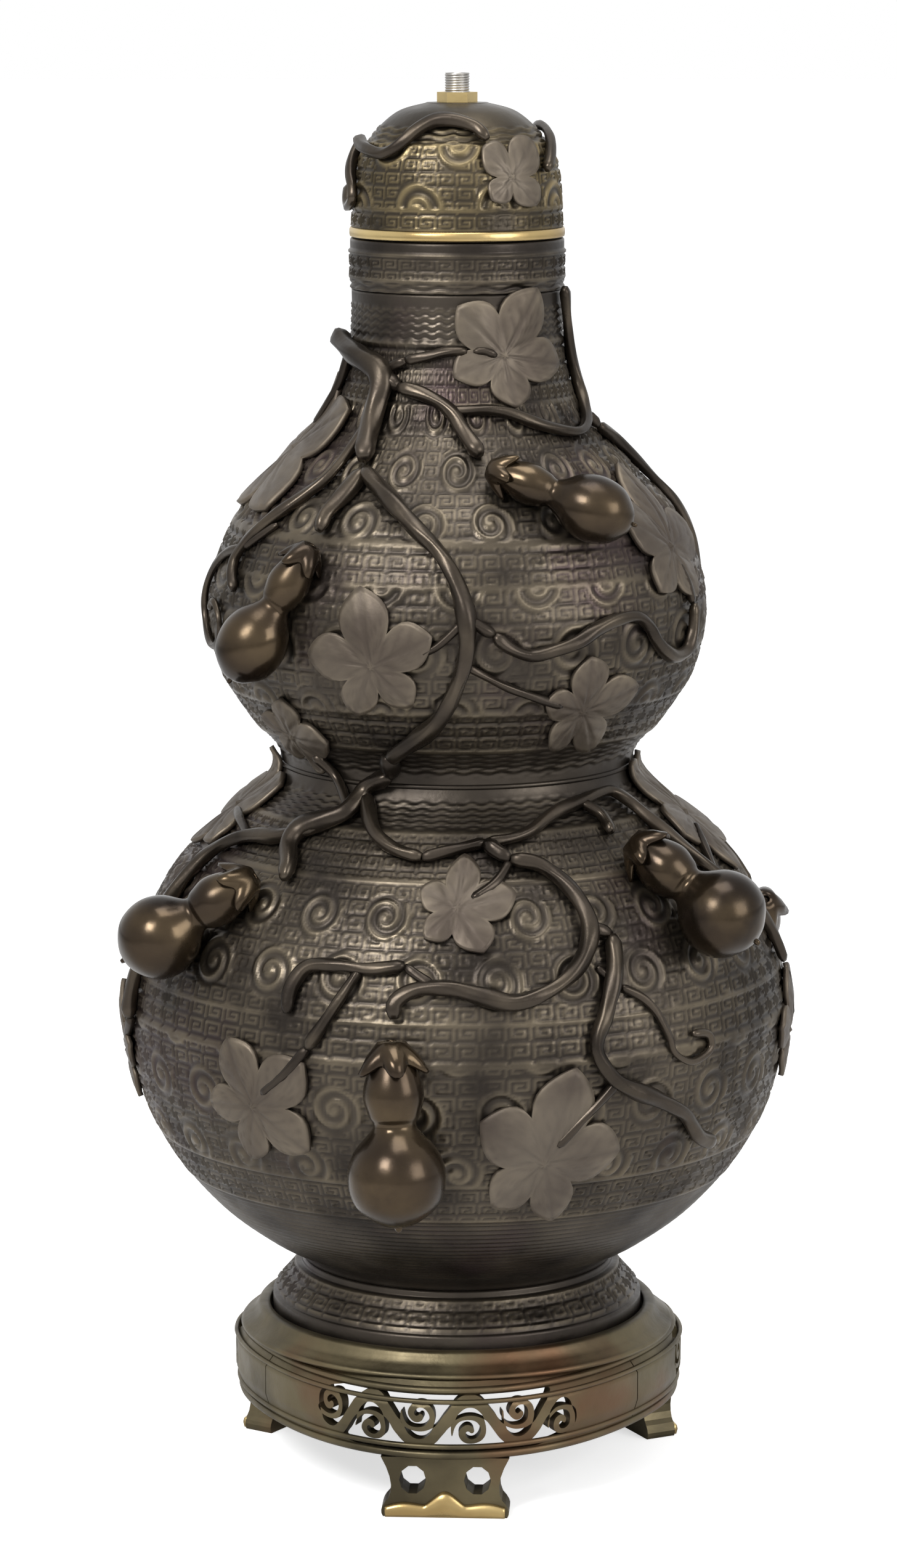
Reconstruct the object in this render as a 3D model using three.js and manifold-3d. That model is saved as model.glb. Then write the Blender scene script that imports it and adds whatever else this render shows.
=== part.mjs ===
// Double-gourd bronze vase with applied vines, fitted with a lamp pipe, on an openwork stand.
// Millimetres, +Z up, the front of the vase faces -Y, the origin is on the surface under the stand.
import * as THREE from "three";
import { mergeVertices } from "three/addons/utils/BufferGeometryUtils.js";
import Module from "manifold-3d";

const wasm = await Module();
wasm.setup();

// Fits
const GAP = 0.3;            // gap between pieces that meet
const LIFT = 0.6;           // gap under an applied vine, leaf or gourd
const SIDES = 28;           // flats round a turned piece

// Stand
const FOOT_HEIGHT = 24.7;
const FOOT_HALF_WIDTH = 27;
const FOOT_DEPTH = 13;
const FOOT_INSET = 15;       // from a panel's radius in to the back of its foot
const PANEL_HEIGHT = 31;
const PANEL_WALL = 5;
const PANEL_RADIUS = 92;
const LOBE = 4.5;           // how far a panel's middle stands out past its ends
const PANEL_TURN = -3;      // degrees that the stand is turned from the vase's front
const SEAT_PLATE = 4.4;
const SEAT_BORE = 58;
const SEAT_LIP = 5;

// Vase
const FOOT_RADIUS = 76;
const FOOT_RISE = 25;
const WALL = 4;
const FLOOR_WALL = 5;
const COLLAR_WALL = 4.3;
const COLLAR_RADIUS = 42.6;
const COLLAR_HEIGHT = 20;
const NECK_TOP = 422;       // height of the collar's top over the vase's own base
const CAP_RADIUS = 41.9;
const CAP_RISE = 53;
const CAP_WALL = 3;
const CAP_TOP_RADIUS = 12.8;
const SPIGOT_DEPTH = 8;
const SPIGOT_WALL = 3;

// Lamp fittings
const PIPE_RADIUS = 5;
const PIPE_BORE = 3.8;
const PIPE_STUB = 7.5;
const PIPE_TAIL = 13;       // length of pipe under the vase's floor
const NUT_FLATS = 14;
const NUT_HEIGHT = 4;
const WASHER_RADIUS = 14;
const WASHER_THICK = 2;

// Sizes and heights that follow from the sizes above
const FOOT_BACK_RADIUS = PANEL_RADIUS - FOOT_INSET;
const PANEL_FOOT = FOOT_HEIGHT + GAP;
const PANEL_TOP = PANEL_FOOT + PANEL_HEIGHT;
const PLATE_BASE = PANEL_TOP + GAP;
const BASE = PLATE_BASE + SEAT_PLATE + GAP;
const FLOOR = BASE + FOOT_RISE;
const COLLAR_TOP = BASE + NECK_TOP + COLLAR_HEIGHT;
const COLLAR_BASE = COLLAR_TOP - COLLAR_HEIGHT;
const CAP_BASE = COLLAR_TOP + GAP;
const CAP_TOP = CAP_BASE + CAP_RISE;

// Outline of the vase, radius and height over the vase's own base, floor to collar
const WAIST = [71.4, 231];
const LOWER = [
  [63.7, 25], [67, 29], [81, 37], [100, 52], [118, 74], [129.5, 99], [134, 123], [134, 139],
  [127, 165], [113, 189], [93, 209], [76, 223], WAIST,
];
const UPPER = [
  WAIST, [73.5, 239], [84, 251], [96, 271], [100, 293], [98, 309], [88.5, 331], [70, 351],
  [52, 371], [44, 391], [42.3, 409], [42.3, NECK_TOP],
];
const CAP_OUTLINE = [
  [CAP_RADIUS, 0], [CAP_RADIUS - 0.3, 10.5], [40.1, 27.5], [33.7, 40.5], [24, 49.5], [CAP_TOP_RADIUS, CAP_RISE],
];
const bodyOutline = [...LOWER, ...UPPER.slice(1)].map(([r, h]) => [r, BASE + h]);
const capOutline = CAP_OUTLINE.map(([r, h]) => [r, CAP_BASE + h]);

const BRONZE = 0x3d2f24;
const LEAF_BRONZE = 0x57493a;
const GOURD_BRONZE = 0x4a3320;
const BRASS = 0x9c7a3a;
const STAND_BRASS = 0x6b5430;
const STEEL = 0x8d8d8a;

const part = new THREE.Group();

// Closed solid from a three.js geometry, with its faces pointing out
function solid(geometry) {
  const g = geometry.clone();
  g.deleteAttribute("normal");
  g.deleteAttribute("uv");
  const merged = mergeVertices(g, 1e-3);
  const points = merged.attributes.position.array;
  const index = merged.index.array;
  const kept = [];
  let volume = 0;
  const corner = (i) => new THREE.Vector3().fromArray(points, 3 * i);
  for (let i = 0; i < index.length; i += 3) {
    const [a, b, c] = [index[i], index[i + 1], index[i + 2]];
    if (a === b || b === c || a === c) continue;
    kept.push(a, b, c);
    volume += corner(a).dot(corner(b).cross(corner(c)));
  }
  if (volume < 0) kept.reverse();
  const mesh = new wasm.Mesh({
    numProp: 3,
    vertProperties: new Float32Array(points),
    triVerts: new Uint32Array(kept),
  });
  return new wasm.Manifold(mesh);
}

// The largest body of a solid, so that a cut leaves no loose chips
function largest(manifold) {
  const bodies = manifold.decompose();
  return bodies.reduce((best, body) => (body.volume() > best.volume() ? body : best));
}

function addPiece(name, manifold, color, roughness, metalness) {
  const { vertProperties, triVerts } = manifold.getMesh();
  const geometry = new THREE.BufferGeometry();
  geometry.setAttribute("position", new THREE.BufferAttribute(vertProperties, 3));
  geometry.setIndex(new THREE.BufferAttribute(triVerts, 1));
  geometry.computeVertexNormals();
  const mesh = new THREE.Mesh(geometry, new THREE.MeshStandardMaterial({ color, roughness, metalness }));
  mesh.name = name;
  part.add(mesh);
}

// Turned piece about the vertical axis, from a closed outline of [radius, height] pairs
function turned(outline, sides = SIDES) {
  const points = [...outline, outline[0]].map(([r, z]) => new THREE.Vector2(r, z));
  return solid(new THREE.LatheGeometry(points, sides).rotateX(Math.PI / 2));
}

function hexNut(base, bore) {
  const shape = new THREE.Shape();
  const corner = NUT_FLATS / Math.sqrt(3);
  for (let i = 0; i < 6; i++) {
    const a = (i * Math.PI) / 3;
    if (i) shape.lineTo(corner * Math.cos(a), corner * Math.sin(a));
    else shape.moveTo(corner, 0);
  }
  shape.closePath();
  const hole = new THREE.Path();
  hole.absarc(0, 0, bore, 0, 2 * Math.PI);
  shape.holes.push(hole);
  const geometry = new THREE.ExtrudeGeometry(shape, { depth: NUT_HEIGHT, bevelEnabled: false, curveSegments: 8 });
  return solid(geometry.translate(0, 0, base));
}

// Closed sheet with a thickness, from a grid of cells that are kept or left open
function sheet(columns, rows, kept, point) {
  const positions = [];
  const id = (side, i, j) => (side * (columns + 1) + i) * (rows + 1) + j;
  for (const side of [0, 1])
    for (let i = 0; i <= columns; i++)
      for (let j = 0; j <= rows; j++) positions.push(...point(i / columns, j / rows, side).toArray());
  const index = [];
  const quad = (a, b, c, d) => index.push(a, b, c, a, c, d);
  const filled = (i, j) => i >= 0 && j >= 0 && i < columns && j < rows && kept(i, j);
  for (let i = 0; i < columns; i++) {
    for (let j = 0; j < rows; j++) {
      if (!filled(i, j)) continue;
      const o = [id(1, i, j), id(1, i + 1, j), id(1, i + 1, j + 1), id(1, i, j + 1)];
      const n = [id(0, i, j), id(0, i + 1, j), id(0, i + 1, j + 1), id(0, i, j + 1)];
      quad(...o);
      quad(n[3], n[2], n[1], n[0]);
      const beside = [[i, j - 1, 0, 1], [i + 1, j, 1, 2], [i, j + 1, 2, 3], [i - 1, j, 3, 0]];
      for (const [ci, cj, p, q] of beside) if (!filled(ci, cj)) quad(n[p], n[q], o[q], o[p]);
    }
  }
  const used = [...new Set(index)];
  const renumber = new Map(used.map((old, k) => [old, k]));
  const packed = used.flatMap((k) => positions.slice(3 * k, 3 * k + 3));
  const geometry = new THREE.BufferGeometry();
  geometry.setAttribute("position", new THREE.Float32BufferAttribute(packed, 3));
  geometry.setIndex(index.map((k) => renumber.get(k)));
  return solid(geometry);
}

// Stand: three pierced panels, three feet and a stepped seat plate
function standPoint(degrees, radius, z) {
  const a = THREE.MathUtils.degToRad(degrees);
  return new THREE.Vector3(radius * Math.sin(a), -radius * Math.cos(a), z);
}

function panel(centre) {
  const halfSpan = 59.8;
  const columns = 18;
  const rows = 7;
  // Bars left between the openings of the scrollwork, one string a row from the bottom up
  const bars = [
    "##################",
    "###.....##.....###",
    "###.###.##.###.###",
    "##..#.#....#.#..##",
    "#####.######.#####",
    "##..#...##...#..##",
    "##################",
  ];
  const bulge = (t) => -7 * Math.max(0, t - 0.72) / 0.28 - 3.5 * Math.max(0, 0.35 - t) / 0.35;
  return sheet(columns, rows, (i, j) => bars[j][i] === "#", (u, v, side) => {
    const off = (2 * u - 1) * halfSpan;
    const lobe = LOBE * Math.cos(THREE.MathUtils.degToRad(3 * off));
    const radius = PANEL_RADIUS + lobe + bulge(v) - (1 - side) * PANEL_WALL;
    return standPoint(centre + off, radius, PANEL_FOOT + v * PANEL_HEIGHT);
  });
}

function standFoot(centre) {
  const w = FOOT_HALF_WIDTH;
  const h = FOOT_HEIGHT;
  const shape = new THREE.Shape();
  shape.moveTo(-w * 0.92, 0);
  shape.lineTo(w * 0.92, 0);
  shape.quadraticCurveTo(w, h * 0.12, w * 0.84, h * 0.3);
  shape.quadraticCurveTo(w * 0.72, h * 0.55, w * 0.95, h);
  shape.lineTo(-w * 0.95, h);
  shape.quadraticCurveTo(-w * 0.72, h * 0.55, -w * 0.84, h * 0.3);
  shape.quadraticCurveTo(-w, h * 0.12, -w * 0.92, 0);
  for (const side of [-1, 1]) {
    const hole = new THREE.Path();
    hole.absellipse(side * w * 0.48, h * 0.62, w * 0.2, h * 0.24, 0, 2 * Math.PI);
    shape.holes.push(hole);
  }
  const geometry = new THREE.ExtrudeGeometry(shape, { depth: FOOT_DEPTH, bevelEnabled: false, curveSegments: 5 });
  geometry.rotateX(Math.PI / 2).translate(0, -FOOT_BACK_RADIUS, 0);
  return solid(geometry.rotateZ(THREE.MathUtils.degToRad(centre)));
}

["front", "right", "left"].forEach((side, k) => {
  const centre = PANEL_TURN + 120 * k;
  addPiece(`stand_panel_${side}`, panel(centre), STAND_BRASS, 0.45, 0.8);
  addPiece(`stand_foot_${side}`, standFoot(centre), STAND_BRASS, 0.4, 0.8);
});

const lipInner = FOOT_RADIUS + 1.2;
addPiece("stand_seat_ring", turned([
  [SEAT_BORE, PLATE_BASE], [PANEL_RADIUS - 3, PLATE_BASE], [PANEL_RADIUS - 3.5, PLATE_BASE + 2],
  [PANEL_RADIUS - 6, PLATE_BASE + 3], [lipInner + 5, PLATE_BASE + SEAT_PLATE + SEAT_LIP - 2],
  [lipInner + 3, PLATE_BASE + SEAT_PLATE + SEAT_LIP], [lipInner, PLATE_BASE + SEAT_PLATE + SEAT_LIP],
  [lipInner, PLATE_BASE + SEAT_PLATE], [SEAT_BORE, PLATE_BASE + SEAT_PLATE],
]), STAND_BRASS, 0.45, 0.8);

// Vase shells
const raised = (outline, drop = 0) => outline.map(([r, h]) => [r - drop, BASE + h]);

addPiece("vase_foot", turned([
  [FOOT_RADIUS, BASE], [FOOT_RADIUS, BASE + 9], [FOOT_RADIUS - 1, BASE + 10.5], [70, BASE + 16],
  [66, BASE + 21], [LOWER[0][0], FLOOR - GAP], [LOWER[0][0] - WALL, FLOOR - GAP],
  [66 - WALL, BASE + 21], [70 - WALL, BASE + 16], [FOOT_RADIUS - WALL, BASE + 9], [FOOT_RADIUS - WALL, BASE],
]), BRONZE, 0.5, 0.7);

const boreRadius = PIPE_RADIUS + GAP;
const lowerInner = LOWER.slice(2).map(([r, h]) => [r - WALL, BASE + h]).reverse();
addPiece("lower_bulb", turned([
  [boreRadius, FLOOR], ...raised(LOWER), ...lowerInner,
  [LOWER[0][0] - WALL, FLOOR + FLOOR_WALL], [boreRadius, FLOOR + FLOOR_WALL],
]), BRONZE, 0.5, 0.7);

const upperRaised = raised(UPPER);
upperRaised[0] = [WAIST[0], BASE + WAIST[1] + GAP];
upperRaised[upperRaised.length - 1] = [UPPER.at(-1)[0], COLLAR_BASE - GAP];
const upperInner = upperRaised.map(([r, z]) => [r - WALL, z]).reverse();
addPiece("upper_bulb", turned([...upperRaised, ...upperInner]), BRONZE, 0.5, 0.7);

addPiece("neck_collar", turned([
  [COLLAR_RADIUS - COLLAR_WALL, COLLAR_BASE], [COLLAR_RADIUS, COLLAR_BASE], [COLLAR_RADIUS, COLLAR_TOP],
  [COLLAR_RADIUS - COLLAR_WALL, COLLAR_TOP],
]), BRONZE, 0.5, 0.7);

const spigotRadius = COLLAR_RADIUS - COLLAR_WALL - GAP;
const capInner = capOutline.slice(1, -1).map(([r, z]) => [r - CAP_WALL, z - 0.5]).reverse();
addPiece("cap", turned([
  [spigotRadius, CAP_BASE], ...capOutline, [boreRadius, CAP_TOP], [boreRadius, CAP_TOP - CAP_WALL],
  [CAP_TOP_RADIUS, CAP_TOP - CAP_WALL], ...capInner,
  [spigotRadius - SPIGOT_WALL, CAP_BASE + 4], [spigotRadius - SPIGOT_WALL, CAP_BASE - SPIGOT_DEPTH],
  [spigotRadius, CAP_BASE - SPIGOT_DEPTH],
]), BRONZE, 0.5, 0.7);

// Lamp fittings: a hollow pipe drawn down by a nut and washer under the floor
const topNutBase = CAP_TOP + GAP;
const pipeTop = topNutBase + NUT_HEIGHT + PIPE_STUB;
const pipeBase = FLOOR - PIPE_TAIL;
addPiece("lamp_pipe", turned([
  [PIPE_BORE, pipeBase], [PIPE_RADIUS, pipeBase], [PIPE_RADIUS, pipeTop], [PIPE_BORE, pipeTop],
], 16), STEEL, 0.35, 0.9);
addPiece("top_hex_nut", hexNut(topNutBase, boreRadius), BRASS, 0.3, 0.9);
const washerBase = FLOOR - GAP - WASHER_THICK;
addPiece("pipe_washer", turned([
  [boreRadius, washerBase], [WASHER_RADIUS, washerBase], [WASHER_RADIUS, FLOOR - GAP], [boreRadius, FLOOR - GAP],
], 16), STEEL, 0.4, 0.9);
addPiece("pipe_lower_nut", hexNut(washerBase - GAP - NUT_HEIGHT, boreRadius), STEEL, 0.4, 0.9);

// A point over the outline's surface: degrees round from the front, height over the base, distance out
function surfacePoint(outline, degrees, z, out) {
  let k = outline.findIndex((p, i) => i > 0 && z <= p[1]);
  if (k < 1) k = outline.length - 1;
  const [r0, z0] = outline[k - 1];
  const [r1, z1] = outline[k];
  const t = THREE.MathUtils.clamp((z - z0) / (z1 - z0), 0, 1);
  const slope = new THREE.Vector2(z1 - z0, r0 - r1).normalize();
  const before = outline[Math.max(k - 2, 0)];
  const after = outline[Math.min(k + 1, outline.length - 1)];
  const wide = new THREE.Vector2(after[1] - before[1], before[0] - after[0]).normalize();
  const normal = slope.lerp(wide, 0.5).normalize();
  const radius = THREE.MathUtils.lerp(r0, r1, t) + normal.x * out;
  return standPoint(degrees, radius, THREE.MathUtils.lerp(z0, z1, t) + normal.y * out);
}
const onVase = (degrees, height, out) => surfacePoint(bodyOutline, degrees, BASE + height, out);
const onCap = (degrees, height, out) => surfacePoint(capOutline, degrees, CAP_BASE + height, out);

// Vine along the surface through [degrees, height] pairs
function vine(route, radius, grow, on) {
  const flat = new THREE.SplineCurve(route.map(([a, h]) => new THREE.Vector2(a, h)));
  const dense = flat.getPoints(route.length * 4);
  const curve = new THREE.CatmullRomCurve3(dense.map((p) => on(p.x, p.y, radius + LIFT)));
  const steps = Math.max(3, Math.round(curve.getLength() / 12));
  const section = new THREE.Shape();
  for (let i = 0; i < 5; i++) {
    const a = (2 * Math.PI * i) / 5;
    section[i ? "lineTo" : "moveTo"]((radius + grow) * Math.cos(a), (radius + grow) * Math.sin(a));
  }
  section.closePath();
  return solid(new THREE.ExtrudeGeometry(section, { steps, extrudePath: curve, bevelEnabled: false }));
}

// Double gourd from its stem to its tip
function gourd([from, to], lobe, grow, on) {
  const start = on(from[0], from[1], lobe * 0.55);
  const end = on(to[0], to[1], lobe);
  const axis = end.clone().sub(start);
  const neckLobe = lobe * 0.62;
  const reach = axis.length() + lobe;
  const profile = [
    [0, 0], [lobe * 0.2, 0], [neckLobe * 0.8, reach * 0.14], [neckLobe, reach * 0.27], [neckLobe * 0.85, reach * 0.38],
    [neckLobe * 0.72, reach * 0.45], [lobe * 0.85, reach * 0.58], [lobe, reach * 0.72],
    [lobe * 0.85, reach * 0.87], [lobe * 0.4, reach * 0.97], [0, reach],
  ].map(([r, y]) => new THREE.Vector2(r > 0 ? r + grow : 0, y + (y > 0 ? grow : -grow)));
  const geometry = new THREE.LatheGeometry(profile, 9);
  geometry.applyQuaternion(new THREE.Quaternion().setFromUnitVectors(new THREE.Vector3(0, 1, 0), axis.normalize()));
  return solid(geometry.translate(...start.toArray()));
}

// Lobed leaf or petalled flower that follows the surface
function leaf({ at, size, turn, lobes = 5, depth = 0.38, stretch = 1 }, grow, on) {
  const spokes = lobes * 4;
  const thick = 2.4;
  const scale = Math.abs(on(at[0] + 1, at[1], 0).distanceTo(on(at[0], at[1], 0)));
  const reach = (i) => size * (1 - depth * (0.5 - 0.5 * Math.cos((2 * Math.PI * lobes * i) / spokes)));
  const positions = [];
  for (const side of [0, 1]) {
    const out = LIFT + side * thick + (side ? grow : -grow);
    positions.push(...on(at[0], at[1], out + side * 0.8).toArray());
    for (const ring of [0.55, 1]) {
      for (let i = 0; i < spokes; i++) {
        const a = (2 * Math.PI * i) / spokes;
        const r = (reach(i) + grow) * ring;
        const x = r * Math.cos(a) * stretch;
        const y = r * Math.sin(a);
        const c = Math.cos(THREE.MathUtils.degToRad(turn));
        const s = Math.sin(THREE.MathUtils.degToRad(turn));
        const curl = ring === 1 ? 0.9 * (i % 4 === 0) : 0;
        const spot = on(at[0] + (x * c - y * s) / scale, at[1] + x * s + y * c, out + curl);
        positions.push(...spot.toArray());
      }
    }
  }
  const layer = 1 + 2 * spokes;
  const index = [];
  for (let i = 0; i < spokes; i++) {
    const n = (i + 1) % spokes;
    const [a, b, c, d] = [1 + i, 1 + n, 1 + spokes + i, 1 + spokes + n];
    for (const side of [0, 1]) {
      const tris = [[0, a, b], [a, c, d], [a, d, b]];
      for (const t of tris) index.push(...(side ? t : t.slice().reverse()).map((k) => k + side * layer));
    }
    index.push(c, d, layer + d, c, layer + d, layer + c);
  }
  const geometry = new THREE.BufferGeometry();
  geometry.setAttribute("position", new THREE.Float32BufferAttribute(positions, 3));
  geometry.setIndex(index);
  return solid(geometry);
}

// Vines that are cast in one piece, each branch a radius and a route of [degrees, height] pairs
const VINES = {
  vine_upper_trunk: [
    [4.4, [[-84, 404], [-66, 399], [-49, 395], [-37, 389], [-37, 375], [-35, 364], [-31, 353]]],
    [3.3, [[-31, 353], [-19, 343], [-10, 333], [-4, 325], [0, 314], [2, 302], [2, 290], [0, 277], [-4, 264], [-11, 254], [-19, 246]]],
    [3.0, [[-31, 353], [-33, 345], [-36, 337], [-36, 331]]],
    [2.2, [[-40, 372], [-43, 352], [-50, 340], [-59, 328], [-64, 316], [-59, 303]]],
  ],
  vine_neck: [
    [3.0, [[-28, 385], [-14, 382], [-3, 376], [3, 367], [8, 359]]],
    [2.2, [[-3, 376], [19, 376], [39, 369], [57, 366], [73, 372], [84, 386], [76, 412], [70, 426]]],
  ],
  vine_neck_stem: [[2.0, [[-26, 396], [-14, 398], [-4, 400], [8, 400]]]],
  vine_upper_right: [
    [2.6, [[8, 296], [15, 288], [27, 292], [34, 298], [44, 299], [49, 290], [56, 282], [64, 284], [66, 300]]],
  ],
  vine_shoulder_right: [[2.2, [[78, 366], [90, 358], [98, 340], [102, 320], [108, 300], [116, 290]]]],
  vine_lower_trunk: [
    [3.7, [[-20, 238], [-28, 230], [-31, 219], [-38, 214], [-43, 209], [-39, 201], [-37, 192]]],
    [2.8, [[-37, 213], [-48, 208], [-58, 206], [-66, 199], [-69, 185], [-71, 168], [-73, 150], [-73, 132]]],
    [2.8, [[-28, 226], [-23, 216], [-16, 209], [-8, 206]]],
  ],
  vine_lower_left: [
    [2.6, [[-9, 170], [-17, 168], [-25, 169], [-29, 160], [-29, 147]]],
    [2.2, [[-17, 168], [-21, 153], [-25, 138]]],
  ],
  vine_loop: [
    [3.2, [[12, 205], [19, 202], [24, 192], [25, 181], [22, 170], [17, 162], [10, 157], [3, 160], [-4, 163], [-10, 158], [-10, 148]]],
  ],
  vine_lower_right: [
    [2.4, [[7, 211], [17, 213], [27, 219], [38, 222], [48, 224], [55, 222], [58, 211], [63, 196], [71, 181], [77, 166], [81, 148]]],
    [2.2, [[38, 222], [42, 217], [41, 211]]],
  ],
  vine_hanging: [
    [3.1, [[29, 178], [28, 166], [25, 150], [23, 138], [27, 125], [34, 117], [41, 108], [46, 97], [53, 91]]],
  ],
  vine_back_upper: [
    [4.2, [[120, 398], [136, 390], [150, 380], [158, 364], [172, 350], [186, 334], [190, 312], [184, 288], [178, 264], [184, 246]]],
    [2.6, [[158, 364], [142, 352], [130, 336], [134, 318]]],
    [2.4, [[190, 312], [204, 300], [218, 304], [228, 318]]],
  ],
  vine_back_lower: [
    [3.8, [[184, 240], [176, 226], [168, 212], [156, 200], [150, 182], [158, 166], [170, 156]]],
    [2.6, [[168, 212], [184, 206], [198, 198], [208, 184], [206, 168]]],
    [2.6, [[150, 182], [136, 190], [122, 198], [112, 188], [106, 168]]],
    [2.6, [[208, 184], [224, 190], [240, 184], [250, 168], [252, 148]]],
  ],
};

const GOURDS = {
  gourd_shoulder: [[[-35, 324], [-46, 288]], 13.6],
  gourd_upper_centre: [[[10, 352], [35, 333]], 13.2],
  gourd_lower_left: [[[-43, 192], [-56, 166]], 16.5],
  gourd_lower_right: [[[41, 204], [49, 176]], 17.6],
  gourd_lower_centre: [[[-10, 142], [-9, 98]], 19],
  gourd_back_upper: [[[136, 314], [142, 286]], 13.4],
  gourd_back_lower: [[[172, 150], [178, 118]], 15.8],
  gourd_back_side: [[[110, 160], [126, 130]], 16.2],
};

const LEAVES = {
  leaf_neck: { at: [24, 398], size: 23, turn: 60 },
  leaf_shoulder_left: { at: [-82, 357], size: 27, turn: 30 },
  leaf_upper_centre: { at: [-19, 283], size: 23, turn: 100, depth: 0.45 },
  leaf_upper_right: { at: [62, 322], size: 24, turn: 80 },
  leaf_waist: { at: [31, 264], size: 19, turn: 20, depth: 0.45 },
  leaf_lower_top_right: { at: [80, 210], size: 24, turn: 50 },
  leaf_lower_top_left: { at: [-80, 213], size: 20, turn: 100 },
  leaf_centre_top: { at: [0, 190], size: 15, turn: 10, stretch: 1.2 },
  leaf_lower_left: { at: [-36, 112], size: 24, turn: 40, depth: 0.45 },
  leaf_far_left: { at: [-86, 112], size: 22, turn: 90 },
  leaf_lower_front: { at: [15, 94], size: 26, turn: 75, stretch: 1.15 },
  leaf_far_right: { at: [83, 122], size: 21, turn: 95 },
  leaf_back_shoulder: { at: [160, 320], size: 22, turn: 30 },
  leaf_back_upper: { at: [232, 338], size: 20, turn: 70 },
  leaf_back_centre: { at: [206, 144], size: 23, turn: 60 },
  leaf_back_lower: { at: [142, 118], size: 24, turn: 110 },
  blossom_waist: { at: [-50, 250], size: 15, turn: 0, depth: 0.35 },
};

const TENDRILS = {
  tendril_upper: [1.5, [[-62, 322], [-72, 318], [-80, 308], [-84, 294], [-78, 282], [-70, 284], [-68, 294], [-73, 300], [-76, 293]]],
  tendril_lower: [1.5, [[29, 160], [34, 153], [37, 141], [39, 131], [44, 128], [47, 134], [44, 140], [41, 136]]],
};

const CAP_VINES = {
  cap_vine_front: [[2.5, [[-86, 37], [-60, 34], [-46, 33], [-36, 36], [-28, 41], [-16, 45], [0, 45], [14, 42], [20, 36]]]],
  cap_vine_left: [[2.0, [[-92, 36], [-80, 26], [-70, 17], [-84, 12], [-98, 20]]]],
  cap_vine_right: [[2.0, [[56, 27], [68, 34], [86, 40], [110, 42], [134, 36], [150, 26], [166, 20], [184, 24]]]],
};

const CAP_FLOWERS = {
  cap_blossom: { at: [30, 25], size: 14, turn: 45, lobes: 4, depth: 0.5 },
};

// Bodies that the applied pieces are cut clear of
const grown = (outline) => outline.map(([r, z]) => [r + GAP, z]);
const capBlank = turned([[1, capOutline[0][1] - 9], [CAP_RADIUS + GAP, capOutline[0][1] - 9], ...grown(capOutline),
  [CAP_TOP_RADIUS, CAP_TOP + GAP], [1, CAP_TOP + GAP]]);
const vaseBlank = turned([[1, BASE], ...grown(bodyOutline), [1, bodyOutline.at(-1)[1]]]);

// Each applied piece is cut clear of the body and of the pieces before it
const placed = [];
function apply(name, make, blank, color, roughness) {
  let piece = make(0).subtract(blank);
  const box = piece.boundingBox();
  for (const other of placed) {
    const apart = [0, 1, 2].some((k) => other.box.min[k] > box.max[k] + 1 || other.box.max[k] < box.min[k] - 1);
    if (!apart) piece = piece.subtract(other.wide);
  }
  piece = largest(piece);
  placed.push({ box: piece.boundingBox(), wide: make(2 * GAP) });
  addPiece(name, piece, color, roughness, 0.7);
}

const joined = (branches, grow, on) =>
  branches.map(([radius, route]) => vine(route, radius, grow, on)).reduce((a, b) => a.add(b));

for (const [name, branches] of Object.entries(VINES))
  apply(name, (grow) => joined(branches, grow, onVase), vaseBlank, BRONZE, 0.45);
for (const [name, [ends, lobe]] of Object.entries(GOURDS))
  apply(name, (grow) => gourd(ends, lobe, grow, onVase), vaseBlank, GOURD_BRONZE, 0.25);
for (const [name, shape] of Object.entries(LEAVES))
  apply(name, (grow) => leaf(shape, grow, onVase), vaseBlank, LEAF_BRONZE, 0.5);
for (const [name, branch] of Object.entries(TENDRILS))
  apply(name, (grow) => joined([branch], grow, onVase), vaseBlank, BRONZE, 0.45);
for (const [name, branches] of Object.entries(CAP_VINES))
  apply(name, (grow) => joined(branches, grow, onCap), capBlank, BRONZE, 0.45);
for (const [name, shape] of Object.entries(CAP_FLOWERS))
  apply(name, (grow) => leaf(shape, grow, onCap), capBlank, LEAF_BRONZE, 0.5);

export default part;
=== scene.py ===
"""Double-gourd bronze vase with applied vines, made into a lamp base, on an openwork stand."""
import math
import bpy
import numpy as np
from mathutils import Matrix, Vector


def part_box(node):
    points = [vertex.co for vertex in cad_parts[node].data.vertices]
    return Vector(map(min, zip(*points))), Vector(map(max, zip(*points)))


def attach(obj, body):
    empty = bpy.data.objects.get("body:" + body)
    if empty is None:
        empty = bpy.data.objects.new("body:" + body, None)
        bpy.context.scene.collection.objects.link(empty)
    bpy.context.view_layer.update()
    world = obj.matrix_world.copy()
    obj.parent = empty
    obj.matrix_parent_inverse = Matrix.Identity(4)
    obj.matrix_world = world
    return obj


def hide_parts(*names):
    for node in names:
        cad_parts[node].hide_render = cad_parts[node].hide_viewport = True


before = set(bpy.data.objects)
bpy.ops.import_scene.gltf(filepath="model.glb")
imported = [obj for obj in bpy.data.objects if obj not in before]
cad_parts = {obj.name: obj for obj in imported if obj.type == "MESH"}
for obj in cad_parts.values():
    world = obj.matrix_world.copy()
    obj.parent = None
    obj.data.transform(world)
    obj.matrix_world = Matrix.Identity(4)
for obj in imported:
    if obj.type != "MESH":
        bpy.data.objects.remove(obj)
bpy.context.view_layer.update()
MM = 0.001
TAU = 2 * math.pi

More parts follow.
